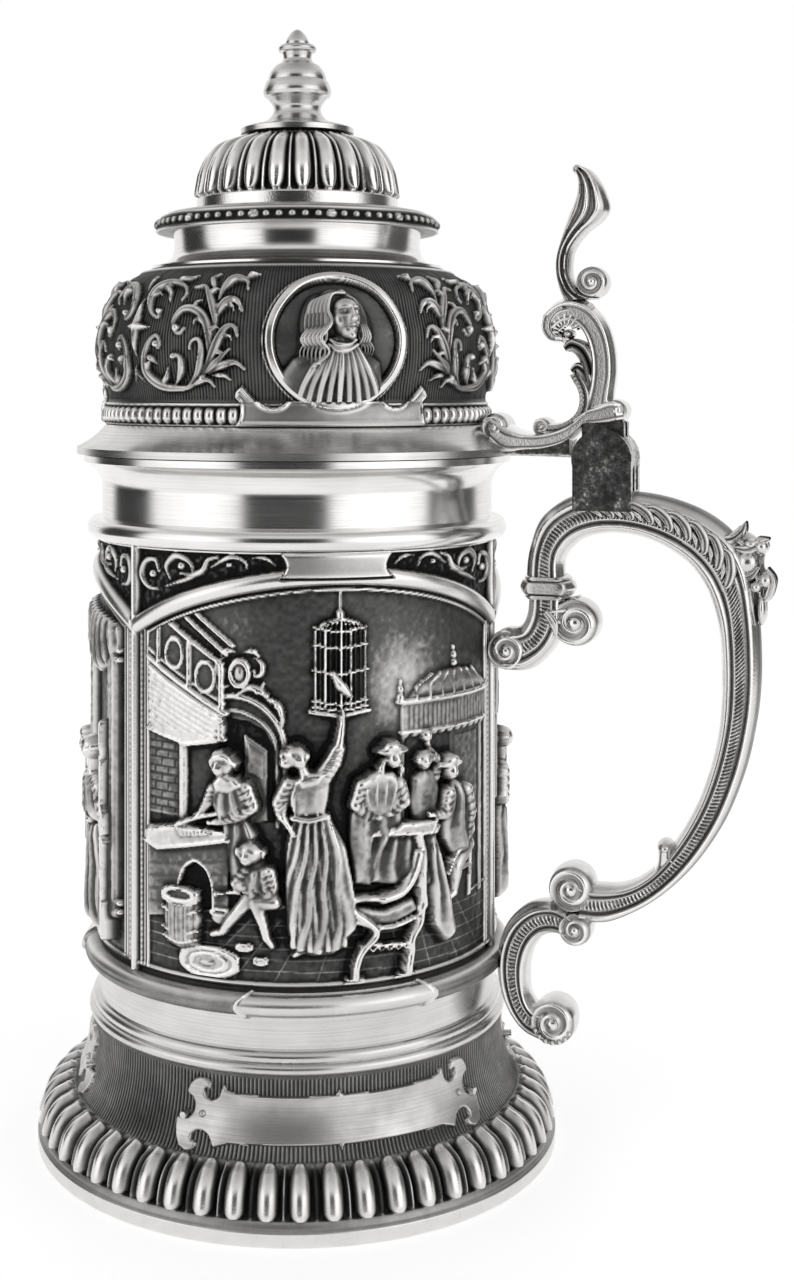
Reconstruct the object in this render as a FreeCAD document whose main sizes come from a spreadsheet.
import FreeCAD, Part
import math
import os

import Sketcher

# A lidded pewter stein.  Millimetres, +Z up.  The origin is the centre of the foot's
# bottom face, the handle points along +X and the lid's hinge axis runs along Y.

SIZES = {
    # foot, from the table up
    "foot_radius": 58.5,
    "foot_rim_top": 4.0,
    "gadroon_top_radius": 50.5,
    "gadroon_top": 12.5,
    "flare_top_radius": 46.0,
    "flare_top": 28.8,
    "foot_wall": 1.9,
    "base_plate_radius": 54.4,
    "base_plate_recess": 2.0,
    "base_plate_thickness": 1.2,
    # drum
    "liner_inner_radius": 42.0,
    "liner_wall": 1.0,
    "liner_top": 148.0,
    "floor_top": 36.0,
    "floor_thickness": 1.4,
    "band_radius": 45.0,
    "band_bead_radius": 46.8,
    "band_top": 41.0,
    "ring_radius": 48.1,
    "ring_top": 45.4,
    "panel_radius": 44.6,
    "panel_top": 135.0,
    "panel_seam": 0.1,
    "post_radius": 46.0,
    "post_half_angle": 4.0,
    "figure_radius": 46.6,
    "figure_bottom": 56.0,
    "figure_height": 48.0,
    "figure_half_angle": 30.0,
    # collar
    "collar_bead_radius": 47.5,
    "collar_bead_top": 139.0,
    "collar_radius": 44.2,
    "lip_radius": 48.3,
    "lip_top": 153.2,
    # foot nameplates
    "nameplate_thickness": 1.0,
    "nameplate_low": 14.6,
    "nameplate_high": 25.4,
    "nameplate_half_angle": 44.0,
    "pin_angle": 39.0,
    "nameplate_pin_radius": 0.7,
    # lid
    "lid_gap": 0.3,
    "rim_radius": 49.9,
    "rim_edge": 1.5,
    "skirt_radius": 43.4,
    "skirt_top": 160.0,
    "lid_wall": 1.6,
    "shoulder_radius": 44.8,
    "shoulder_crown": 195.8,
    "shoulder_crown_radius": 31.0,
    "neck_radius": 27.1,
    "neck_top": 203.4,
    "ring_edge_radius": 32.2,
    "lid_ring_top": 208.0,
    "cap_radius": 22.8,
    "cap_top": 225.6,
    "cap_top_radius": 12.6,
    "medallion_radius": 15.0,
    "medallion_height": 178.0,
    "medallion_front": 46.8,
    # finial
    "plate_radius": 12.6,
    "plate_top": 228.5,
    "finial_radius": 7.4,
    "overall_height": 250.0,
    "stud_radius": 2.0,
    "nut_flats": 7.0,
    "nut_height": 3.0,
    # handle and hinge
    "strap_width": 8.0,
    "scroll_width": 8.6,
    "hinge_centre": 70.6,
    "hinge_height": 152.9,
    "knuckle_radius": 6.4,
    "hinge_width": 12.5,
    "leaf_gap": 0.15,
    "hinge_pin_radius": 1.6,
    "hinge_running_gap": 0.05,
    "shank_width": 10.0,
    "thumblift_width": 9.0,
}

doc = FreeCAD.newDocument("tankard")
sheet = doc.addObject("Spreadsheet::Sheet", "Sizes")
for row, (alias, value) in enumerate(SIZES.items(), start=1):
    sheet.set(f"A{row}", alias)
    sheet.set(f"B{row}", str(value))
    sheet.setAlias(f"B{row}", alias)
doc.recompute()

V = FreeCAD.Vector
PANELS = {"front": -60.0, "right": 60.0, "back": 180.0}


def bound(text):
    """Write an expression over the sheet's aliases the way other objects read it."""
    words = sorted(SIZES, key=len, reverse=True)
    out = ""
    at = 0
    while at < len(text):
        word = next((w for w in words if text.startswith(w, at)), None)
        if word:
            out += "Sizes." + word
            at += len(word)
        else:
            out += text[at]
            at += 1
    return out


def amount(text):
    """The value of an expression over the sheet's aliases."""
    return float(sheet.evalExpression(str(text)))


def new_body(label):
    body = doc.addObject("PartDesign::Body", label)
    body.Label = label
    return body


def new_sketch(body, name, role, offset=None):
    plane = next(f for f in body.Origin.OriginFeatures if f.Role == role)
    sketch = body.newObject("Sketcher::SketchObject", name)
    sketch.AttachmentSupport = [(plane, "")]
    sketch.MapMode = "FlatFace"
    if offset:
        sketch.setExpression("AttachmentOffset.Base.z", bound(offset))
    return sketch


def hold_point(geometry, end, across, up):
    """Constraints, each with its expression, that hold a sketch point."""
    held = []
    for kind, text, axis in (("DistanceX", across, -2), ("DistanceY", up, -1)):
        value = amount(text)
        if abs(value) < 1e-9:
            held.append((Sketcher.Constraint("PointOnObject", geometry, end, axis), None))
        else:
            held.append((Sketcher.Constraint(kind, -1, 1, geometry, end, value), text))
    return held


def arc_radius(start, through, end):
    """The expression for the radius of the circle through three points."""
    (ax, ay), (bx, by), (cx, cy) = start, through, end
    sides = " * ".join(f"sqrt((({x}) - ({u}))^2 + (({y}) - ({v}))^2)" for x, y, u, v in (
        (ax, ay, bx, by), (bx, by, cx, cy), (cx, cy, ax, ay)))
    double_area = (f"abs((({bx}) - ({ax})) * (({cy}) - ({ay})) - "
                   f"(({cx}) - ({ax})) * (({by}) - ({ay})))")
    return f"{sides} / (2 * {double_area})"


def constrain(sketch, held):
    """Add constraints together and bind each to its expression."""
    first = sketch.ConstraintCount
    sketch.addConstraint([constraint for constraint, text in held])
    for index, (constraint, text) in enumerate(held, start=first):
        if text is not None:
            sketch.setExpression(f"Constraints[{index}]", bound(str(text)))


def draw_outline(sketch, steps):
    """Close an outline.  A step (x, y) is a straight run to a point, and a step
    (x1, y1, x, y) is an arc through the first point to the second."""
    ends = [V(amount(s[-2]), amount(s[-1]), 0) for s in steps]
    sides = []
    for i, step in enumerate(steps):
        start, end = ends[i - 1], ends[i]
        sides.append((1, 2))
        if len(step) == 2:
            sketch.addGeometry(Part.LineSegment(start, end), False)
            continue
        through = V(amount(step[0]), amount(step[1]), 0)
        # A sketch keeps every arc anticlockwise, so a clockwise one is drawn from its end.
        if (through - start).cross(end - start).z < 0:
            start, end = end, start
            sides[i] = (2, 1)
        sketch.addGeometry(Part.Arc(start, through, end), False)
    held = []
    for i, step in enumerate(steps):
        after = (i + 1) % len(steps)
        join = Sketcher.Constraint("Coincident", i, sides[i][1], after, sides[after][0])
        held.append((join, None))
        held += hold_point(i, sides[i][1], step[-2], step[-1])
        if len(step) == 4:
            radius = arc_radius(steps[i - 1][-2:], step[:2], step[2:])
            held.append((Sketcher.Constraint("Radius", i, amount(radius)), radius))
    constrain(sketch, held)
    return sketch


def turned(label, steps):
    """A piece turned about Z from an outline of radius and height."""
    body = new_body(label)
    sketch = draw_outline(new_sketch(body, label + "_outline", "XZ_Plane"), steps)
    turn = body.newObject("PartDesign::Revolution", label + "_turn")
    turn.Profile = sketch
    turn.ReferenceAxis = (sketch, ["V_Axis"])
    turn.Angle = 360
    return body


def padded_outline(body, name, steps, width):
    """Add a plate of an outline in the XZ plane, centred on Y = 0."""
    sketch = draw_outline(new_sketch(body, name + "_outline", "XZ_Plane"), steps)
    pad = body.newObject("PartDesign::Pad", name)
    pad.Profile = sketch
    pad.Midplane = True
    pad.setExpression("Length", bound(width))
    return pad


def padded_discs(body, name, discs, width):
    """Add round bosses (x, z, radius) in the XZ plane, centred on Y = 0."""
    sketch = new_sketch(body, name + "_circles", "XZ_Plane")
    held = []
    for index, (x, z, radius) in enumerate(discs):
        circle = Part.Circle(V(amount(x), amount(z), 0), V(0, 0, 1), amount(radius))
        sketch.addGeometry(circle, False)
        held += hold_point(index, 3, x, z)
        held.append((Sketcher.Constraint("Radius", index, amount(radius)), radius))
    constrain(sketch, held)
    pad = body.newObject("PartDesign::Pad", name)
    pad.Profile = sketch
    pad.Midplane = True
    pad.setExpression("Length", bound(width))
    return pad


def cylinder(name, radius, height, base=(), tilt=None):
    shape = doc.addObject("Part::Cylinder", name)
    shape.setExpression("Radius", bound(radius))
    shape.setExpression("Height", bound(height))
    if tilt:
        shape.Placement = FreeCAD.Placement(V(0, 0, 0), tilt)
    for axis, text in zip("xyz", base):
        shape.setExpression(f"Placement.Base.{axis}", bound(text))
    return shape


def joined(kind, name, first, second):
    """A Part::Cut or Part::Common of two objects."""
    result = doc.addObject("Part::" + kind, name)
    result.Base = first
    result.Tool = second
    return result


def fused(name, shapes):
    result = doc.addObject("Part::MultiFuse", name)
    result.Shapes = shapes
    return result


# ---- foot ----

def make_foot():
    wall = "foot_wall"
    foot = turned("foot_casting", [
        ("foot_radius", "0"),
        ("foot_radius", "foot_rim_top"),
        ("foot_radius - 1", "foot_rim_top + 0.5"),
        ("gadroon_top_radius + 5.6", "gadroon_top - 2.5",
         "gadroon_top_radius", "gadroon_top"),
        ("flare_top_radius + 1.2", "gadroon_top + 8.3",
         "flare_top_radius", "flare_top - 2.8"),
        ("flare_top_radius", "flare_top"),
        ("liner_inner_radius", "flare_top"),
        ("liner_inner_radius", f"flare_top - {wall}"),
        (f"flare_top_radius - {wall}", f"flare_top - 1.2 * {wall}"),
        (f"flare_top_radius + 1.2 - {wall}", "gadroon_top + 7.3",
         f"gadroon_top_radius - {wall}", "gadroon_top - 1.5"),
        ("base_plate_radius - 1.4", "base_plate_recess + base_plate_thickness + 2"),
        ("base_plate_radius - 1.4", "base_plate_recess + base_plate_thickness"),
        ("base_plate_radius", "base_plate_recess + base_plate_thickness"),
        ("base_plate_radius", "base_plate_recess"),
        ("base_plate_radius + 0.8", "0"),
    ])
    plate = turned("foot_base_plate", [
        ("base_plate_radius", "base_plate_recess"),
        ("base_plate_radius", "base_plate_recess + base_plate_thickness"),
        ("0", "base_plate_recess + base_plate_thickness"),
        ("0", "base_plate_recess"),
    ])
    band = turned("foot_collar_band", [
        ("flare_top_radius", "flare_top"),
        ("band_bead_radius + 0.2", "flare_top + 1.3", "flare_top_radius", "flare_top + 2.6"),
        ("band_bead_radius - 0.6", "flare_top + 3.7", "band_radius + 0.3", "flare_top + 4.8"),
        ("band_radius", "flare_top + 5.2"),
        ("band_radius", "band_top"),
        ("liner_inner_radius + liner_wall", "band_top"),
        ("liner_inner_radius + liner_wall", "flare_top"),
    ])
    return [foot, plate, band]


# ---- drum ----

def make_drum():
    outer = "liner_inner_radius + liner_wall"
    liner = turned("vessel_liner", [
        (outer, "flare_top"),
        (outer, "liner_top"),
        ("liner_inner_radius", "liner_top"),
        ("liner_inner_radius", "flare_top"),
    ])
    floor = turned("vessel_floor", [
        ("liner_inner_radius", "floor_top - floor_thickness"),
        ("liner_inner_radius", "floor_top"),
        ("0", "floor_top"),
        ("0", "floor_top - floor_thickness"),
    ])
    ring = turned("panel_bottom_ring", [
        ("ring_radius - 2", "band_top"),
        ("ring_radius - 0.7", "band_top + 0.5"),
        ("ring_radius", "(band_top + ring_top) / 2", "ring_radius - 0.7", "ring_top - 0.5"),
        ("ring_radius - 2", "ring_top"),
        (outer, "ring_top"),
        (outer, "band_top"),
    ])
    collar = turned("collar", [
        ("collar_bead_radius - 1", "panel_top"),
        ("collar_bead_radius", "panel_top + 2", "collar_bead_radius - 1", "collar_bead_top"),
        ("collar_radius", "collar_bead_top + 0.5"),
        ("collar_radius", "liner_top - 2.6"),
        ("collar_radius + 1", "liner_top + 1.4", "lip_radius", "lip_top - 1.4"),
        ("lip_radius", "lip_top"),
        ("liner_inner_radius", "lip_top"),
        ("liner_inner_radius", "liner_top"),
        (outer, "liner_top"),
        (outer, "panel_top"),
    ])
    return [liner, floor, ring, collar]


def sector_steps(inner, outer, half):
    """A ring sector about the X axis, with its half angle as an expression in degrees."""
    return [
        (f"({outer}) * cos({half})", f"-({outer}) * sin({half})"),
        (outer, "0", f"({outer}) * cos({half})", f"({outer}) * sin({half})"),
        (f"({inner}) * cos({half})", f"({inner}) * sin({half})"),
        (inner, "0", f"({inner}) * cos({half})", f"-({inner}) * sin({half})"),
    ]


def corner_steps(inner, outer, first, last):
    """A narrow ring sector between two angles."""
    middle = f"(({first}) + ({last})) / 2"
    return [
        (f"({outer}) * cos({first})", f"({outer}) * sin({first})"),
        (f"({outer}) * cos({middle})", f"({outer}) * sin({middle})",
         f"({outer}) * cos({last})", f"({outer}) * sin({last})"),
        (f"({inner}) * cos({last})", f"({inner}) * sin({last})"),
        (f"({inner}) * cos({middle})", f"({inner}) * sin({middle})",
         f"({inner}) * cos({first})", f"({inner}) * sin({first})"),
    ]


def raised_sector(body, name, steps, bottom, height):
    sketch = draw_outline(new_sketch(body, name + "_plan", "XY_Plane", bottom), steps)
    pad = body.newObject("PartDesign::Pad", name)
    pad.Profile = sketch
    pad.setExpression("Length", bound(height))


def make_panel(name, azimuth):
    """A third of the drum: its wall, a post along each edge and the raised field that
    carries the relief."""
    body = new_body("relief_panel_" + name)
    inner = "liner_inner_radius + liner_wall"
    edge = "60 deg - panel_seam * 1 deg"
    tall = "panel_top - ring_top"
    post = f"{edge} - post_half_angle * 1 deg"
    raised_sector(body, name + "_wall", sector_steps(inner, "panel_radius", edge), "ring_top", tall)
    raised_sector(body, name + "_post_a", corner_steps("panel_radius - 0.5", "post_radius", post, edge),
                  "ring_top", tall)
    raised_sector(body, name + "_post_b",
                  corner_steps("panel_radius - 0.5", "post_radius", f"0 deg - ({edge})", f"0 deg - ({post})"),
                  "ring_top", tall)
    field = sector_steps("panel_radius - 0.5", "figure_radius", "figure_half_angle * 1 deg")
    raised_sector(body, name + "_relief", field, "figure_bottom", "figure_height")
    body.Placement = FreeCAD.Placement(V(0, 0, 0), FreeCAD.Rotation(V(0, 0, 1), azimuth))
    return body


def make_nameplate(name, azimuth, foot):
    """A thin plate bent over the foot's flare, trimmed to the flare's own surface."""
    blank = new_body("nameplate_blank_" + name)
    sketch = draw_outline(new_sketch(blank, name + "_plate_outline", "XZ_Plane"), [
        ("gadroon_top_radius - foot_wall / 2", "nameplate_low"),
        ("gadroon_top_radius - 0.9 + nameplate_thickness * 0.7", "nameplate_low"),
        ("flare_top_radius + 1.7 + nameplate_thickness * 0.6", "(nameplate_low + nameplate_high) / 2",
         "flare_top_radius + 0.3 + nameplate_thickness * 0.8", "nameplate_high"),
        ("flare_top_radius - foot_wall / 2", "nameplate_high"),
    ])
    turn = blank.newObject("PartDesign::Revolution", name + "_plate_turn")
    turn.Profile = sketch
    turn.ReferenceAxis = (sketch, ["V_Axis"])
    turn.Midplane = True
    turn.setExpression("Angle", bound("2 * nameplate_half_angle"))
    blank.Placement = FreeCAD.Placement(V(0, 0, 0), FreeCAD.Rotation(V(0, 0, 1), azimuth))
    core = turned("flare_core_" + name, [
        ("foot_radius", "0"),
        ("foot_radius", "foot_rim_top"),
        ("gadroon_top_radius + 5.6", "gadroon_top - 2.5",
         "gadroon_top_radius", "gadroon_top"),
        ("flare_top_radius + 1.2", "gadroon_top + 8.3",
         "flare_top_radius", "flare_top - 2.8"),
        ("flare_top_radius", "flare_top"),
        ("0", "flare_top"),
        ("0", "0"),
    ])
    plate = joined("Cut", "foot_nameplate_" + name, blank, core)
    plate.Refine = True
    return plate


def make_nameplate_pins():
    """Two small pins through the ends of each nameplate, into the foot."""
    pins = []
    for name, azimuth in PANELS.items():
        for side in (-1, 1):
            pin = cylinder(f"nameplate_pin_{name}_{'ab'[side > 0]}", "nameplate_pin_radius",
                           "nameplate_thickness + 1.9")
            turn = azimuth + side * amount("pin_angle")
            lay = FreeCAD.Rotation(V(0, 0, 1), turn).multiply(FreeCAD.Rotation(V(0, 1, 0), 90))
            middle = amount("(nameplate_low + nameplate_high) / 2")
            start = amount("flare_top_radius + 0.2")
            foot = V(start * math.cos(math.radians(turn)), start * math.sin(math.radians(turn)), middle)
            pin.Placement = FreeCAD.Placement(foot, lay)
            pins.append(pin)
    group = doc.addObject("Part::Compound", "nameplate_pins")
    group.Links = pins
    return group


# ---- lid ----

def make_lid():
    rim_low = "lip_top + lid_gap"
    rim = turned("lid_rim", [
        ("rim_radius", rim_low),
        ("rim_radius", f"{rim_low} + rim_edge"),
        ("rim_radius - 3.7", f"{rim_low} + 3.7", "skirt_radius", "skirt_top"),
        ("skirt_radius - lid_wall", "skirt_top"),
        ("skirt_radius - lid_wall", rim_low),
    ])
    shoulder = turned("lid_shoulder", [
        ("skirt_radius", "skirt_top"),
        ("skirt_radius", "skirt_top + 4.3"),
        ("skirt_radius - 0.7", "skirt_top + 5.3"),
        ("shoulder_radius", "skirt_top + 16", "shoulder_radius - 1.2", "skirt_top + 23.4"),
        ("shoulder_radius - 5.3", "shoulder_crown - 4.1", "shoulder_crown_radius", "shoulder_crown"),
        ("shoulder_crown_radius - 4.5", "shoulder_crown"),
        ("shoulder_crown_radius - 4.5", "shoulder_crown - lid_wall"),
        ("shoulder_radius - 7.4", "shoulder_crown - 6.2",
         "shoulder_radius - 1.2 - lid_wall", "skirt_top + 22.8"),
        ("shoulder_radius - lid_wall", "skirt_top + 16", "skirt_radius - 0.7 - lid_wall", "skirt_top + 6"),
        ("skirt_radius - lid_wall", "skirt_top"),
    ])
    neck = turned("lid_neck", [
        ("shoulder_crown_radius - 0.8", "shoulder_crown"),
        ("shoulder_crown_radius - 0.8", "shoulder_crown + 0.9"),
        ("neck_radius", "shoulder_crown + 3.9", "neck_radius + 1.1", "neck_top - 1"),
        ("neck_radius + 1.1", "neck_top"),
        ("neck_radius - lid_wall", "neck_top"),
        ("neck_radius - lid_wall", "shoulder_crown"),
    ])
    ring = turned("lid_ring", [
        ("ring_edge_radius", "neck_top"),
        ("ring_edge_radius", "neck_top + 1.8"),
        ("ring_edge_radius - 2.6", "lid_ring_top - 0.9"),
        ("cap_radius + 1.4", "lid_ring_top"),
        ("cap_radius - 2.4", "lid_ring_top"),
        ("cap_radius - 2.4", "neck_top + 2.6"),
        ("neck_radius - lid_wall", "neck_top + 1.8"),
        ("neck_radius - lid_wall", "neck_top"),
    ])
    cap = turned("lid_cap", [
        ("cap_radius", "lid_ring_top"),
        ("cap_radius", "lid_ring_top + 3"),
        ("cap_radius - 2.2", "cap_top - 6.4", "cap_top_radius", "cap_top"),
        ("stud_radius", "cap_top"),
        ("stud_radius", "cap_top - lid_wall"),
        ("cap_top_radius - 1.1", "cap_top - lid_wall"),
        ("cap_radius - 4.6", "cap_top - 6.6", "cap_radius - lid_wall", "lid_ring_top + 3"),
        ("cap_radius - lid_wall", "lid_ring_top"),
    ])
    plate = turned("finial_plate", [
        ("plate_radius", "cap_top"),
        ("plate_radius", "cap_top + 0.8"),
        ("plate_radius - 2.6", "cap_top + 1.9", "finial_radius + 0.6", "plate_top"),
        ("stud_radius", "plate_top"),
        ("stud_radius", "cap_top"),
    ])
    top = "overall_height"
    finial = turned("finial", [
        ("finial_radius - 0.7", "plate_top"),
        ("finial_radius - 1.6", "plate_top + 2.6", "finial_radius - 0.9", "plate_top + 5"),
        ("finial_radius", "plate_top + 7", "finial_radius - 0.8", "plate_top + 10"),
        ("finial_radius - 1.4", "plate_top + 12"),
        ("finial_radius - 4.1", f"{top} - 6.4", "finial_radius - 3.2", f"{top} - 4.6"),
        ("finial_radius - 4.2", f"{top} - 2.8"),
        ("2.7", f"{top} - 0.9", "1.1", top),
        ("0", top),
        ("0", "plate_top + 7.5"),
        ("stud_radius", "plate_top + 7.5"),
        ("stud_radius", "plate_top"),
    ])
    low = "cap_top - lid_wall - nut_height - 1"
    stud = cylinder("finial_stud", "stud_radius", f"plate_top + 7.5 - ({low})", ("0", "0", low))
    hexagon = doc.addObject("Part::Prism", "finial_nut_blank")
    hexagon.Polygon = 6
    hexagon.setExpression("Circumradius", bound("nut_flats / sqrt(3)"))
    hexagon.setExpression("Height", bound("nut_height"))
    hexagon.setExpression("Placement.Base.z", bound("cap_top - lid_wall - nut_height"))
    bore = cylinder("finial_nut_bore", "stud_radius", "2 * nut_height",
                    ("0", "0", "cap_top - lid_wall - 1.5 * nut_height"))
    nut = joined("Cut", "finial_nut", hexagon, bore)
    return [rim, shoulder, neck, ring, cap, plate, finial, stud, nut]


# ---- handle ----

def make_handle(ring, foot_band):
    strap = new_body("handle_strap")
    padded_outline(strap, "strap_band", [
        ("61.6", "124.6"),
        ("61.4", "131.5"),
        ("66.6", "137.5", "78.5", "137.2"),
        ("88.6", "132", "94.6", "121.5"),
        ("96.3", "107", "94.6", "93"),
        ("90.6", "79.9", "81.5", "65.2"),
        ("76", "61.4", "68", "60.2"),
        ("66.8", "60.2"),
        ("63.5", "55.8"),
        ("66.6", "53.4", "72.1", "54.2"),
        ("85.4", "62.8", "94.7", "75.9"),
        ("101.2", "93", "102.4", "109"),
        ("103.6", "125"),
        ("104", "134", "98.5", "140.1"),
        ("94.3", "142.4", "89.6", "141.7"),
        ("81", "144.8", "72.9", "145"),
        ("63", "143.6", "57.4", "139"),
        ("54.6", "133", "54.6", "124.6"),
    ], "strap_width")
    padded_discs(strap, "strap_volute", [("62.8", "60.1", "4.4")], "scroll_width")

    upper_blank = new_body("handle_upper_scroll_blank")
    padded_outline(upper_blank, "upper_arm", [
        ("62", "124.6"),
        ("62", "120"),
        ("61", "114"),
        ("57", "108.4", "51", "107.3"),
        ("45", "108.5"),
        ("45", "113.6"),
        ("51.5", "114.4"),
        ("54.4", "117", "54.2", "121"),
        ("54.2", "124.6"),
    ], "strap_width")
    padded_discs(upper_blank, "upper_curl", [("64.1", "118", "4.8")], "scroll_width")
    padded_discs(upper_blank, "upper_volute", [("49.1", "110.9", "3.7")], "scroll_width")
    drum = cylinder("drum_core", "post_radius", "panel_top - ring_top", ("0", "0", "ring_top"))
    upper = joined("Cut", "handle_upper_scroll", upper_blank, drum)

    lower_blank = new_body("handle_lower_scroll_blank")
    padded_outline(lower_blank, "lower_arm", [
        ("62.5", "49.9"),
        ("65.5", "54.4"),
        ("61", "56.4"),
        ("52", "53.8", "47.4", "44"),
        ("49.8", "31.5", "58.5", "26.9"),
        ("59.5", "30.5"),
        ("54.8", "35.6", "53.5", "42.7"),
        ("55.6", "48.2", "62.5", "49.9"),
    ][1:], "strap_width")
    padded_discs(lower_blank, "lower_curl", [("65", "51.1", "3.3")], "scroll_width")
    padded_discs(lower_blank, "lower_volute", [("59.3", "31.3", "4.4")], "scroll_width")
    lower_drum = cylinder("lower_drum_core", "post_radius", "panel_top - ring_top", ("0", "0", "ring_top"))
    off_drum = joined("Cut", "lower_scroll_off_drum", lower_blank, lower_drum)
    off_ring = joined("Cut", "lower_scroll_off_ring", off_drum, ring)
    off_band = joined("Cut", "lower_scroll_off_band", off_ring, foot_band)
    lower = joined("Cut", "handle_lower_scroll", off_band, strap)
    return strap, [strap, upper, lower]


# ---- hinge, shank and thumblift ----

LEAF = "hinge_width / 5"


def make_hinge(strap, rim):
    left = "hinge_centre - knuckle_radius + 0.2"
    right = "hinge_centre + knuckle_radius - 0.1"
    slot_floor = "hinge_height - knuckle_radius - leaf_gap - 0.25"
    blank = new_body("hinge_lug_blank")
    padded_outline(blank, "lug_block", [
        (left, "hinge_height - 11"),
        (right, "hinge_height - 11"),
        (right, "hinge_height"),
        (left, "hinge_height"),
    ], "hinge_width")
    padded_discs(blank, "lug_knuckles", [("hinge_centre", "hinge_height", "knuckle_radius")], "hinge_width")
    off_strap = joined("Cut", "lug_off_strap", blank, strap)
    slots = []
    for name, low in (("a", f"0 - 1.5 * {LEAF}"), ("b", f"0.5 * {LEAF}")):
        slot = doc.addObject("Part::Box", "lug_slot_" + name)
        slot.setExpression("Length", bound("4 * knuckle_radius"))
        slot.setExpression("Width", bound(LEAF))
        slot.setExpression("Height", bound("4 * knuckle_radius"))
        slot.setExpression("Placement.Base.x", bound("hinge_centre - 2 * knuckle_radius"))
        slot.setExpression("Placement.Base.y", bound(low))
        slot.setExpression("Placement.Base.z", bound(slot_floor))
        slots.append(slot)
    across = FreeCAD.Rotation(V(1, 0, 0), -90)
    pin_ends = "hinge_width + 0.8"
    pin_base = ("hinge_centre", f"0 - ({pin_ends}) / 2", "hinge_height")
    pin = cylinder("hinge_pin", "hinge_pin_radius", pin_ends, pin_base, across)
    bore = cylinder("lug_bore", "hinge_pin_radius", "3 * hinge_width",
                    ("hinge_centre", "0 - 1.5 * hinge_width", "hinge_height"), across)
    lug = joined("Cut", "hinge_lug", off_strap, fused("lug_cutters", slots + [bore]))

    shank_blank = new_body("lid_shank_blank")
    low = "lip_top + lid_gap"
    padded_outline(shank_blank, "shank_strap", [
        ("44.5", low),
        ("63.4", low),
        ("63.4", "158"),
        ("66", "161"),
        ("75", "161"),
        ("75", "163.4"),
        ("66", "163.4"),
        ("61", "160", "55", "158.6"),
        ("50", "157.6"),
        ("44.5", "158.6"),
    ], "shank_width")
    padded_discs(shank_blank, "shank_volute", [("47.6", "159.7", "2.9")], "shank_width")
    leaves = []
    for name, middle in (("a", f"0 - {LEAF}"), ("b", LEAF)):
        leaf = new_body("lid_leaf_" + name)
        width = f"{LEAF} - 2 * leaf_gap"
        padded_outline(leaf, "leaf_arm_" + name, [
            ("hinge_centre - 4.6", "hinge_height"),
            ("hinge_centre + 4.4", "hinge_height"),
            ("hinge_centre + 4.4", "162"),
            ("hinge_centre - 4.6", "162"),
        ], width)
        knuckle = [("hinge_centre", "hinge_height", "knuckle_radius")]
        padded_discs(leaf, "leaf_knuckle_" + name, knuckle, width)
        leaf.setExpression("Placement.Base.y", bound(middle))
        leaves.append(leaf)
    rim_core = cylinder("rim_core", "skirt_radius", "40", ("0", "0", low))
    off_rim = joined("Cut", "shank_off_rim", shank_blank, rim)
    off_core = joined("Cut", "shank_off_core", off_rim, rim_core)
    running = cylinder("leaf_bore", "hinge_pin_radius + hinge_running_gap", "3 * hinge_width",
                       ("hinge_centre", "0 - 1.5 * hinge_width", "hinge_height"), across)
    shank = joined("Cut", "lid_shank", fused("shank_and_leaves", [off_core] + leaves), running)

    lift = new_body("thumblift")
    padded_outline(lift, "lift_stem", [
        ("66", "163.4"),
        ("75", "163.4"),
        ("74.6", "165.2"),
        ("72.4", "166.6"),
        ("73.6", "174", "71", "181.8"),
        ("68.8", "186.8"),
        ("66.5", "190.5", "64.6", "196"),
        ("66.6", "201.4", "71.5", "205.6"),
        ("71.8", "211", "68.5", "214.6"),
        ("66.2", "216.4", "63.9", "215.3"),
        ("65.4", "211", "63.6", "206"),
        ("59.6", "199", "59.8", "192.6"),
        ("61.3", "188"),
        ("57", "186", "56.4", "181.6"),
        ("58", "177.8", "61.4", "178"),
        ("63.6", "171"),
        ("66.4", "167", "63.8", "163.4"),
    ], "thumblift_width")
    padded_discs(lift, "lift_curl", [("67.3", "190.4", "4.2")], "thumblift_width")
    return [lug, pin], [shank, lift]


def all_pieces():
    foot = make_foot()
    drum = make_drum()
    panels = [make_panel(name, azimuth) for name, azimuth in PANELS.items()]
    plates = [make_nameplate(name, azimuth, foot[0]) for name, azimuth in PANELS.items()]
    strap, handle = make_handle(drum[2], foot[2])
    lid = make_lid()
    hinge, shank = make_hinge(strap, lid[0])
    return foot + drum + panels + plates + [make_nameplate_pins()] + handle + hinge + lid + shank


def save(pieces):
    doc.recompute()
    for item in doc.Objects:
        bad = {"Invalid", "Error"} & set(item.State)
        if bad:
            raise RuntimeError(f"{item.Name} did not build: {item.State}")
    for piece in pieces:
        shape = piece.Shape
        if shape.isNull() or not shape.isValid() or not shape.Solids:
            raise RuntimeError(f"{piece.Label} has no valid solid")
    os.makedirs("parts", exist_ok=True)
    for piece in pieces:
        piece.Shape.exportStep(f"parts/{piece.Label}.step")
        box = piece.Shape.BoundBox
        print(f"{piece.Label}: {len(piece.Shape.Solids)} solid(s), {piece.Shape.Volume:.0f} mm3, "
              f"z {box.ZMin:.1f} to {box.ZMax:.1f}")


save(all_pieces())
